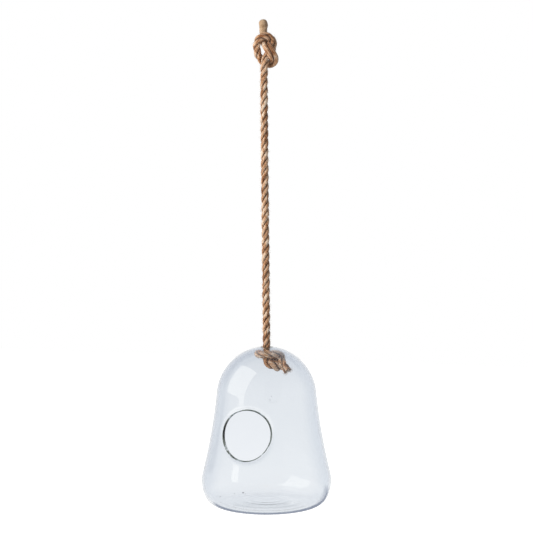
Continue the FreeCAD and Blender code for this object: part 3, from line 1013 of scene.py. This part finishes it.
    def fray_piece(self) -> Piece:
        """Makes the frayed end: the strands open, thin out and stop, with fibres standing off.

        Returns:
            The frayed end as an object.
        """
        share = np.linspace(0.0, 1.0, self.fray_rings)
        spread, thick = 1 + self.fray_spread * share**2, 1 - self.fray_taper * share**2
        points, places, painted_shades = self.strand_rings(self.length + self.fray_step * share, spread, thick)
        beyond = self.fray_length * share
        points = points + (self.ahead[-1] * beyond[:, None])[None, :, None, :]
        places[..., 2] += beyond[None, :, None]
        # The cut face is darkened with painted shade, and a brush of fibres stands on it
        painted_shades[:, -2:] = self.painted_cut_shade
        cut = np.zeros_like(painted_shades)
        cut[:, -2:] = 1.0
        spots = np.full(self.fray_rings, self.length)
        shape = (points, places, painted_shades)
        return self.strand_piece("frayed_end", spots, shape, (True, True), brush=cut.ravel())

    def build(self) -> None:
        """Builds the rope's pieces and dresses them, and ties each piece that lies in a single body to it."""
        self.lay_line()
        log.info("rope line %.1f mm", self.length / MM)
        jute, loose, glue = self.fibre.build(), self.loose.build(), self.glue.build()
        tree = self.fibre_tree(loose)
        tip = self.tip_piece()
        tip.data.materials.append(glue)
        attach(tip, "hanger")
        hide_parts("dipped_end")
        cuts = [self.tip_length, *(self.length_at(height) for height in self.cut_heights), self.length]
        stretches = [
            ("knotted_top", ("hanger", "hanger"), ("top_knot",)),
            ("swinging_rope", ("hanger", "link"), ("rope_neck",)),
            ("second_swinging_rope", ("link", "upper"), ("rope_link",)),
            ("twisting_rope", ("upper", "middle"), ("upper_rope",)),
            ("bending_rope", ("middle", "lower"), ("middle_rope",)),
            ("knotted_foot", ("lower", "lower"), ("lower_rope", "stopper_knot")),
        ]
        for index, (name, bodies, nodes) in enumerate(stretches):
            start, stop = cuts[index], cuts[index + 1]
            spots = self.spots(start, stop)
            shape = self.strand_rings(spots, np.ones(len(spots)), np.ones(len(spots)))
            piece = self.strand_piece(name, spots, shape, (index == 0, index == len(stretches) - 1))
            piece.data.materials.append(jute)
            grown(piece, tree, self.fuzz.sizes(index))
            if bodies[0] == bodies[1]:
                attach(piece, bodies[0])
            else:
                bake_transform(piece)
            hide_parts(*nodes)
            path = [tuple(spot) for spot in self.at(spots)[0]]
            log.info("%s: %d faces, %.1f mm", name, len(piece.data.polygons), (stop - start) / MM)
        fray = self.fray_piece()
        fray.data.materials.append(jute)
        grown(fray, tree, self.fray_fuzz.sizes())
        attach(fray, "lower")
        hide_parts("frayed_tail")
        log.info("frayed_end: %d faces", len(fray.data.polygons))


@dataclass(frozen=True)
class Arc:
    """One arc of the vase's outline, in its half section of radius and height."""

    centre: tuple[float, float]
    radius: float
    start: float
    stop: float
    steps: int
    hollow: bool = False

    def points(self, inset: float) -> Array:
        """Samples the arc.

        Args:
            inset: how far inside the outline the points lie.

        Returns:
            Rows of radius and height, without the last point.
        """
        angle = np.linspace(self.start, self.stop, self.steps, endpoint=False)
        radius = self.radius + inset if self.hollow else self.radius - inset
        return np.stack([self.centre[0] + radius * np.cos(angle), self.centre[1] + radius * np.sin(angle)], 1)


@dataclass
class GlassVessel:
    """The blown vessel: one closed wall with a crown hole, a side opening and a rippled foot."""

    wall: float = 2.6 * MM
    floor: float = 3.6 * MM
    punt: float = 3.0 * MM
    dome_centre: tuple[float, float] = (0.0, 140 * MM)
    dome_radius: float = 65 * MM
    belly_centre: tuple[float, float] = (38 * MM, 32 * MM)
    belly_radius: float = 46 * MM
    heel_centre: tuple[float, float] = (60.14 * MM, 21.5 * MM)
    heel_radius: float = 21.5 * MM
    flank_radius: float = 700 * MM
    land_inner: float = 51.14 * MM
    crown_hole: float = 7.5 * MM
    opening_across: float = 31.5 * MM
    opening_up: float = 30.3 * MM
    # The opening is cut by hand: its top and bottom lie a little right of its middle
    opening_drift: float = 2.5 * MM
    opening_height: float = 98.9 * MM
    lip_round: float = 1.1 * MM
    bead: float = 1.0 * MM
    bead_reach: float = 2.6 * MM
    ripple: float = 0.075 * MM
    ripple_width: float = 3.6 * MM
    ripple_radii: tuple[float, ...] = (19 * MM, 28 * MM, 42 * MM)
    ripple_below: float = 0.5
    # Steps of the mesh: down the dome, flank, belly, heel and foot, round the axis and over the lip
    dome_steps: int = 38
    flank_steps: int = 34
    belly_steps: int = 22
    heel_steps: int = 18
    foot_steps: int = 48
    columns: int = 288
    lip_steps: int = 10
    # The patch round the side opening, whose rings crowd towards its border
    patch_columns: int = 36
    patch_half_height: float = 43 * MM
    patch_rings: int = 16
    patch_crowding: float = 0.8
    patch_margin: int = 3
    glass: SodaLimeGlass = SodaLimeGlass()
    # A melted edge reads grey-green from the long way through the glass. The side opening's rim is also
    # painted dark, as painted shade for the dark room that its rounded edge refracts
    rim: SodaLimeGlass = SodaLimeGlass(
        "glass_rim_painted_shade", colour="#474C3E", turned="#33372E", streak_length=7 * MM
    )
    crown_edge: SodaLimeGlass = SodaLimeGlass(
        "fire_polished_glass_crown", colour="#7FAE90", turned="#628F77", streak_length=4 * MM
    )

    def flank(self) -> tuple[tuple[float, float], float, float]:
        """Finds the hollow flank's centre, outside the vase, and its ends on the dome and the belly.

        Returns:
            The centre, and the angles on the dome and on the belly at which the flank touches them.
        """
        one, two = np.array(self.dome_centre), np.array(self.belly_centre)
        to_one = self.flank_radius + self.dome_radius
        to_two = self.flank_radius + self.belly_radius
        gap = float(np.linalg.norm(two - one))
        along = (to_one**2 - to_two**2 + gap**2) / (2 * gap)
        off = math.sqrt(to_one**2 - along**2)
        unit = (two - one) / gap
        centre = one + unit * along + np.array([-unit[1], unit[0]]) * off
        on_one, on_two = centre - one, centre - two
        return tuple(centre), math.atan2(on_one[1], on_one[0]), math.atan2(on_two[1], on_two[0])

    def outline(self, wall: Wall) -> Array:
        """Samples one face of the wall from the crown hole down to the foot's middle.

        Args:
            wall: which face.

        Returns:
            Rows of radius and height above the land, the last on the axis.
        """
        inset = wall.value * self.wall
        centre, on_dome, on_belly = self.flank()
        edge = math.acos((self.crown_hole + self.lip_round) / (self.dome_radius - inset))
        across, up = np.subtract(self.heel_centre, self.belly_centre)
        to_heel = math.atan2(up, across)
        turned = (on_dome + math.pi, on_belly + math.pi)
        arcs = [
            Arc(self.dome_centre, self.dome_radius, edge, on_dome, self.dome_steps),
            Arc(centre, self.flank_radius, *turned, self.flank_steps, hollow=True),
            Arc(self.belly_centre, self.belly_radius, on_belly, to_heel, self.belly_steps),
            Arc(self.heel_centre, self.heel_radius, to_heel, -math.pi / 2, self.heel_steps),
        ]
        rows = np.concatenate([arc.points(inset) for arc in arcs])
        across = np.linspace(self.heel_centre[0], 0.0, self.foot_steps)
        ridges = sum(np.exp(-(((across - radius) / self.ripple_width) ** 2)) for radius in self.ripple_radii)
        # Foot and punt run nearly parallel, as blown ones do, so that the foot doesn't trap light
        height = self.punt * np.clip(1 - (across / self.land_inner) ** 2, 0, 1)
        if wall is Wall.INNER:
            swell = 1 - (across / self.heel_centre[0]) ** 2
            height += inset + (self.floor - inset) * swell + self.ripple * ridges
        else:
            height += self.ripple_below * self.ripple * ridges * (across < self.land_inner)
        return np.concatenate([rows, np.stack([across, height], 1)])

    def face(self, body: bmesh.types.BMesh, wall: Wall, foot: float) -> tuple[list, list, list]:
        """Adds one face of the wall to a mesh, open at the crown hole and the side opening.

        Args:
            body: the mesh that takes it.
            wall: which face.
            foot: height of the land in the frame.

        Returns:
            The loops of points round the crown hole and the side opening, and the direction from the
            opening's middle at each point of the latter, as an angle.
        """
        theta = (np.arange(self.columns) - self.columns // 2) * TURN / self.columns
        rows = self.outline(wall)
        grid = []
        for radius, height in rows[:-1]:
            grid.append([body.verts.new(round_axis(a, radius, foot + height)) for a in theta])
        top, bottom, side = self.patch_rows()
        left = self.columns // 2 - self.patch_columns
        right = self.columns // 2 + self.patch_columns
        for i in range(len(grid) - 1):
            for j in range(self.columns):
                if top <= i < bottom and left <= j < right:
                    continue
                k = (j + 1) % self.columns
                body.faces.new([grid[i][j], grid[i][k], grid[i + 1][k], grid[i + 1][j]])
        pole = body.verts.new((0, 0, foot + rows[-1, 1]))
        for j in range(self.columns):
            body.faces.new([grid[-1][j], grid[-1][(j + 1) % self.columns], pole])
        for i in range(top + 1, bottom):
            for j in range(left + 1, right):
                body.verts.remove(grid[i][j])

        border = [(top, j) for j in range(left, right)]
        border += [(i, right) for i in range(top, bottom)]
        border += [(bottom, j) for j in range(right, left, -1)]
        border += [(i, left) for i in range(bottom, top, -1)]
        corners = []
        for i, j in border:
            across = rows[i, 0] * math.sin(theta[j])
            corners.append((theta[j], rows[i, 1], math.atan2(rows[i, 1] - self.opening_height, across)))
        flank = rows[side][::-1]
        before = [grid[i][j] for i, j in border]
        for step in range(1, self.patch_rings + 1):
            share = 1 - (step / self.patch_rings) ** self.patch_crowding
            after = []
            for corner in corners:
                x, y, z = self.near_opening(corner, share, flank, wall)
                after.append(body.verts.new((x, y, foot + z)))
            bridge(body, before, after)
            before = after
        return grid[0], before, [corner[2] for corner in corners]

    def patch_rows(self) -> tuple[int, int, slice]:
        """Finds the rows of points that bound the patch round the side opening, alike on both faces.

        Returns:
            The rows above and below it, and all rows of the flank.
        """
        heights = self.outline(Wall.OUTER)[: -self.foot_steps, 1]
        levels = (self.opening_height + self.patch_half_height, self.opening_height - self.patch_half_height)
        top, bottom = (int(np.argmin(np.abs(heights - level))) for level in levels)
        return top, bottom, slice(top - self.patch_margin, bottom + self.patch_margin + 1)

    def near_opening(self, corner: Way, share: float, flank: Array, wall: Wall) -> Way:
        """Places a point of the wall between the side opening's edge and the patch round it.

        Args:
            corner: the patch's border point: its angle, its height and its direction from the opening.
            share: how far out the point lies, from 0 at the opening's edge to 1 at the border.
            flank: radii and heights along this face's flank, from below.
            wall: which face.

        Returns:
            The point, its height above the land.
        """
        angle, height, way = corner
        rim_height = self.opening_height + (self.opening_up + self.lip_round) * math.sin(way)
        rim_radius = float(np.interp(rim_height, flank[:, 1], flank[:, 0]))
        across = (self.opening_across + self.lip_round) * math.cos(way)
        across += self.opening_drift * math.sin(way) ** 2
        rim_angle = math.asin(across / rim_radius)
        turn = share * (angle - rim_angle)
        climb = share * (height - rim_height)
        # A fire-polished edge draws back into a slight bead
        swell = self.bead * math.exp(-((math.hypot(turn * rim_radius, climb) / self.bead_reach) ** 2))
        radius = float(np.interp(rim_height + climb, flank[:, 1], flank[:, 0]))
        radius += swell if wall is Wall.OUTER else -swell
        return round_axis(rim_angle + turn, radius, rim_height + climb)

    def close_edge(
        self, body: bmesh.types.BMesh, outer: list, inner: list, ways: list[Vector], edge: Edge
    ) -> None:
        """Closes the wall between its two faces with a rounded edge.

        Args:
            body: the mesh that takes it.
            outer: the outer face's loop.
            inner: the inner face's loop.
            ways: the direction in which the edge bulges at each point.
            edge: which edge.
        """
        loops = [outer]
        for step in range(1, self.lip_steps + 1):
            angle = math.pi * step / (self.lip_steps + 1)
            loop = []
            for one, two, way in zip(outer, inner, ways):
                middle, half = (one.co + two.co) / 2, (one.co - two.co) / 2
                bulge = way * self.lip_round * math.sin(angle)
                loop.append(body.verts.new(middle + half * math.cos(angle) + bulge))
            loops.append(loop)
        loops.append(inner)
        for before, after in zip(loops, loops[1:]):
            bridge(body, before, after, edge.value)

    def build(self) -> None:
        """Builds the vessel as one closed mesh and dresses it."""
        foot = float(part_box("glass_vessel")[0][2])
        body = bmesh.new()
        crown_out, opening_out, turns = self.face(body, Wall.OUTER, foot)
        crown_in, opening_in, _ = self.face(body, Wall.INNER, foot)
        inward = [Vector((-vertex.co.x, -vertex.co.y, 0)).normalized() for vertex in crown_out]
        self.close_edge(body, crown_out, crown_in, inward, Edge.CROWN)
        inward = [Vector((-math.cos(turn), 0, -math.sin(turn))) for turn in turns]
        self.close_edge(body, opening_out, opening_in, inward, Edge.RIM)
        bmesh.ops.recalc_face_normals(body, faces=body.faces)
        mesh = bpy.data.meshes.new("blown_vessel")
        body.to_mesh(mesh)
        body.free()
        mesh.polygons.foreach_set("use_smooth", np.ones(len(mesh.polygons), bool))
        vessel = bpy.data.objects.new("blown_vessel", mesh)
        bpy.context.scene.collection.objects.link(vessel)
        for glass in (self.glass, self.rim, self.crown_edge):
            mesh.materials.append(replace(glass, foot=foot).build())
        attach(vessel, "vessel")
        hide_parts("glass_vessel")
        log.info("blown_vessel: %d faces", len(mesh.polygons))


@dataclass
class Seeds:
    """The few seeds in the glass: those that the photograph shows, and finer ones between them."""

    vessel: GlassVessel
    # Seeds in the wall: degrees round from the side opening, millimetres up and of radius
    plain: tuple[Way, ...] = (
        (2.7, 30.8, 0.8),
        (-21.5, 22.0, 0.6),
        (-5.5, 28.6, 0.45),
        (-22.5, 14.5, 0.5),
        (4.5, 29.5, 0.4),
        (27.0, 143.0, 0.45),
        (28.5, 147.5, 0.4),
    )
    # Seeds in the foot: degrees round, millimetres from the axis and of radius
    footed: tuple[Way, ...] = (
        (113.0, 43.0, 0.75),
        (107.0, 41.0, 0.6),
        (99.0, 37.5, 0.7),
        (92.0, 33.0, 0.45),
    )
    foot_middle: float = 2.9 * MM
    # The band of the wall in which finer seeds are scattered, and the steps of its mesh
    low: float = 10 * MM
    high: float = 62 * MM
    sides: int = 48
    bands: int = 16
    density: float = 700.0
    radius: float = 0.2 * MM
    # The smallest and the largest finer seed, as shares of that radius
    least_share: float = 0.5
    most_share: float = 1.2
    finish: TrappedAir = TrappedAir()

    def radius_at(self, height: float) -> float:
        """Gives the middle of the wall's distance from the axis at a height above the foot."""
        rows = self.vessel.outline(Wall.OUTER)[: -self.vessel.foot_steps]
        return float(np.interp(height, rows[::-1, 1], rows[::-1, 0])) - self.vessel.wall / 2

    def tree(self, finish: bpy.types.Material) -> Tree:
        """Builds the Geometry Nodes tree that puts a bubble on each place.

        Args:
            finish: the bubbles' material.

        Returns:
            The tree. Its faces take scattered bubbles, and a point with a share takes one of that size.
        """
        tree, given = new_tree("glass_seeds", {"Seeds per square metre": "Float", "Radius": "Float"})
        fine = {"Mesh": given["Geometry"], "Density": given["Seeds per square metre"], "Seed": 5}
        fine = add(tree, "GeometryNodeDistributePointsOnFaces", fine)
        size = {2: self.least_share, 3: self.most_share, "Seed": 6}
        size = add(tree, "FunctionNodeRandomValue", size, data_type="FLOAT")
        bubble = add(tree, "GeometryNodeMeshIcoSphere", {"Radius": given["Radius"], "Subdivisions": 2})
        scattered = {"Points": fine, "Instance": bubble, "Scale": size}
        scattered = add(tree, "GeometryNodeInstanceOnPoints", scattered)
        share = add(tree, "GeometryNodeInputNamedAttribute", {"Name": "share"}, data_type="FLOAT")
        lone = {"data_type": "FLOAT", "operation": "GREATER_THAN"}
        lone = add(tree, "FunctionNodeCompare", {0: share, 1: 0.0}, **lone)
        placed = {"Points": given["Geometry"], "Selection": lone, "Instance": bubble, "Scale": share}
        placed = add(tree, "GeometryNodeInstanceOnPoints", placed)
        joined = add(tree, "GeometryNodeJoinGeometry", {"Geometry": scattered})
        tree.links.new(placed.outputs["Instances"], joined.inputs["Geometry"])
        real = add(tree, "GeometryNodeRealizeInstances", {"Geometry": joined})
        smooth = add(tree, "GeometryNodeSetShadeSmooth", {"Geometry": real})
        dressed = add(tree, "GeometryNodeSetMaterial", {"Geometry": smooth, "Material": finish})
        add(tree, "NodeGroupOutput", {"Geometry": dressed})
        return tree

    def build(self) -> None:
        """Builds the seeds as one mesh inside the wall."""
        foot = float(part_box("glass_vessel")[0][2])
        around = np.arange(self.sides) * TURN / self.sides
        points = []
        for height in np.linspace(self.high, self.low, self.bands):
            radius = self.radius_at(height)
            points += [round_axis(a, radius, foot + height) for a in around]
        shares = [0.0] * len(points)
        lone = [(angle, self.radius_at(up * MM), up * MM, size) for angle, up, size in self.plain]
        lone += [(angle, out * MM, self.foot_middle, size) for angle, out, size in self.footed]
        for angle, out, up, size in lone:
            points.append(round_axis(math.radians(angle), out, foot + up))
            shares.append(size * MM / self.radius)
        quads = ring_quads(self.bands, self.sides)
        piece = new_piece("glass_seeds", np.array(points), quads, marks={"share": np.array(shares)})
        finish = self.finish.build()
        piece.data.materials.append(finish)
        grown(piece, self.tree(finish), {"Seeds per square metre": self.density, "Radius": self.radius})
        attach(piece, "vessel")
        log.info("glass_seeds: %d faces", len(piece.data.polygons))


@dataclass
class Studio:
    """White surroundings, soft lamps and the camera at the photograph's place."""

    distance: float = 1.43
    height: float = -0.28275
    sensor_width: float = 36.0
    # The lens in pixels of the frame, and the frame's width in pixels
    focal_pixels: float = 1100.0
    frame_pixels: int = 533
    floor_height: float = -0.95
    floor_half: float = 6.0
    # What shows through the glass, by the sine of the direction's height: white paper, lightest
    # just below level and darker upwards
    through: Stops = (
        (-1.0, "#E0E5EB"),
        (-0.6, "#E7EBF0"),
        (-0.35, "#F3F5F9"),
        (-0.2, "#F3F5F9"),
        (-0.14, "#EAEDF2"),
        (-0.06, "#E5E8EE"),
        (0.3, "#D9DDE5"),
        (0.5, "#BBC3D0"),
        (0.85, "#99A3B4"),
    )
    through_strength: float = 1.04
    # What is reflected in it, in the same way: the studio, dark overhead
    reflected: Stops = (
        (-1.0, "#A4ADB9"),
        (-0.3, "#BCC3D0"),
        (0.1, "#BCC3D0"),
        (0.6, "#BEC4D0"),
        (0.82, "#A9B0BC"),
        (0.97, "#30363E"),
    )
    # How white the backdrop is reflected, by the cosine from straight behind the vase
    backdrop: Stops = ((0.3, "#000000"), (0.85, "#FFFFFF"))
    # The room is dark just below the backdrop, which draws the glass's lower outline: the way to
    # it across, away and up, and how dark it is by the cosines from that way and from behind
    dark_way: Way = (0.25, 0.0, -0.968)
    dark_side: Stops = ((0.35, "#000000"), (0.43, "#FFFFFF"))
    dark_depth: Stops = ((0.5, "#000000"), (0.62, "#D4D0C4"))
    fill: str = "#F4F6FA"
    fill_strength: float = 0.44
    key_place: Way = (-1.0, -0.8, 0.0)
    key_target: Way = (0.0, 0.0, -0.2)
    key_size: float = 0.35
    key_watts: float = 10.5
    # The softbox's corners across, away and up in the rope's frame, found from its two reflections
    softbox: tuple[Way, ...] = (
        (-0.53, -0.44, -0.43),
        (-0.73, 0.12, -0.39),
        (-0.52, 0.22, 0.18),
        (-0.24, -0.34, 0.18),
    )
    cloth: SoftboxCloth = SoftboxCloth()
    paper: WhitePaper = WhitePaper()

    def world(self) -> None:
        """Lights the scene evenly: white to the camera, and to the glass what stands round it."""
        world = bpy.data.worlds.new("white_room")
        bpy.context.scene.world = world
        world.use_nodes = True
        tree = world.node_tree
        tree.nodes.clear()
        path = add(tree, "ShaderNodeLightPath").outputs
        view = add(tree, "ShaderNodeTexCoord").outputs["Generated"]
        up, behind = (0.0, 0.0, 1.0), (0.0, 1.0, 0.0)
        tones = []
        for way, stops in (
            (self.dark_way, self.dark_side),
            (behind, self.dark_depth),
            (up, self.through),
            (up, self.reflected),
            (behind, self.backdrop),
        ):
            cosine = add(tree, "ShaderNodeVectorMath", {0: view, 1: seen_from(way)}, operation="DOT_PRODUCT")
            level = add(tree, "ShaderNodeMapRange", {"Value": cosine, "From Min": -1.0, "From Max": 1.0})
            places = {(place + 1) / 2: code for place, code in stops}
            tones.append(add(tree, "ShaderNodeValToRGB", {"Fac": level}, places))
        side, depth, through, room, backdrop = tones
        multiply = {"data_type": "RGBA", "blend_type": "MULTIPLY"}
        dark = add(tree, "ShaderNodeMix", {0: 1.0, 6: side, 7: depth}, **multiply)
        # Only by way of a reflection, so that the glass stays clear to those who look down through it
        mirrored = add(tree, "ShaderNodeMath", {0: path["Glossy Depth"], 1: 0.5}, operation="GREATER_THAN")
        dark = add(tree, "ShaderNodeMix", {0: 1.0, 6: dark, 7: mirrored}, **multiply)
        spared = add(tree, "ShaderNodeInvert", {"Color": dark})
        through = add(tree, "ShaderNodeMix", {0: 1.0, 6: through, 7: spared}, **multiply)
        screen = multiply | {"blend_type": "SCREEN"}
        room = add(tree, "ShaderNodeMix", {0: 1.0, 6: room, 7: backdrop}, **screen)
        reflected = add(tree, "ShaderNodeMix", {0: 1.0, 6: room, 7: spared}, **multiply)
        fill = {"Color": linear(self.fill), "Strength": self.fill_strength}
        shader = add(tree, "ShaderNodeBackground", fill)
        for ray, colour, strength in (
            (Ray.GLOSSY, reflected, 1.0),
            (Ray.TRANSMISSION, through, self.through_strength),
            (Ray.CAMERA, linear("#FFFFFF"), 1.0),
        ):
            light = add(tree, "ShaderNodeBackground", {"Color": colour, "Strength": strength})
            shader = add(tree, "ShaderNodeMixShader", {0: path[ray.value], 1: shader, 2: light})
        add(tree, "ShaderNodeOutputWorld", {"Surface": shader})

    def panel(self, name: str, corners: list[Way], finish: Finish) -> Piece:
        """Adds a flat panel of the studio.

        Args:
            name: its name.
            corners: its four corners, in order.
            finish: its finish.

        Returns:
            The panel.
        """
        panel = new_piece(name, np.array(corners), np.array([[0, 1, 2, 3]]))
        panel.data.materials.append(finish.build())
        return panel

    def key(self) -> None:
        """Adds the key lamp at the front left, which lights the rope and isn't seen in the glass."""
        place = Vector(seen_from(self.key_place))
        data = bpy.data.lights.new("key", "AREA")
        data.shape = "SQUARE"
        data.size = self.key_size
        data.energy = self.key_watts
        lamp = bpy.data.objects.new("key", data)
        lamp.location = place
        lamp.rotation_euler = (Vector(self.key_target) - place).to_track_quat("-Z", "Y").to_euler()
        lamp.visible_camera = False
        lamp.visible_glossy = False
        lamp.visible_transmission = False
        bpy.context.scene.collection.objects.link(lamp)

    def camera(self) -> None:
        """Places the camera level, straight before the knot's face, at the photograph's framing."""
        data = bpy.data.cameras.new("photograph")
        data.sensor_width = self.sensor_width
        data.lens = self.focal_pixels * data.sensor_width / self.frame_pixels
        camera = bpy.data.objects.new("photograph", data)
        back = Vector((math.sin(KNOT_TURN), -math.cos(KNOT_TURN), 0))
        camera.location = back * self.distance + Vector((0, 0, self.height))
        camera.rotation_euler = (-back).to_track_quat("-Z", "Y").to_euler()
        bpy.context.scene.collection.objects.link(camera)
        bpy.context.scene.camera = camera

    def build(self) -> None:
        """Builds the surroundings: the world, the softbox, the key lamp, the floor and the camera."""
        bpy.context.scene.view_settings.view_transform = "Standard"
        self.world()
        card = self.panel("softbox", [seen_from(corner) for corner in self.softbox], self.cloth)
        card.visible_camera = False
        card.visible_shadow = False
        self.key()
        half, z = self.floor_half, self.floor_height
        corners = [(-half, -half, z), (half, -half, z), (half, half, z), (-half, half, z)]
        floor = self.panel("floor", corners, self.paper)
        floor.visible_glossy = False
        floor.visible_transmission = False
        self.camera()
        log.info("studio: softbox, key lamp, floor and camera")


def main() -> None:
    """Builds the rope, the vessel and the studio."""
    logging.basicConfig(level=logging.INFO, format="%(name)s %(message)s")
    Studio().build()
    Rope().build()
    vessel = GlassVessel()
    vessel.build()
    Seeds(vessel).build()


if __name__ == "__main__":
    main()
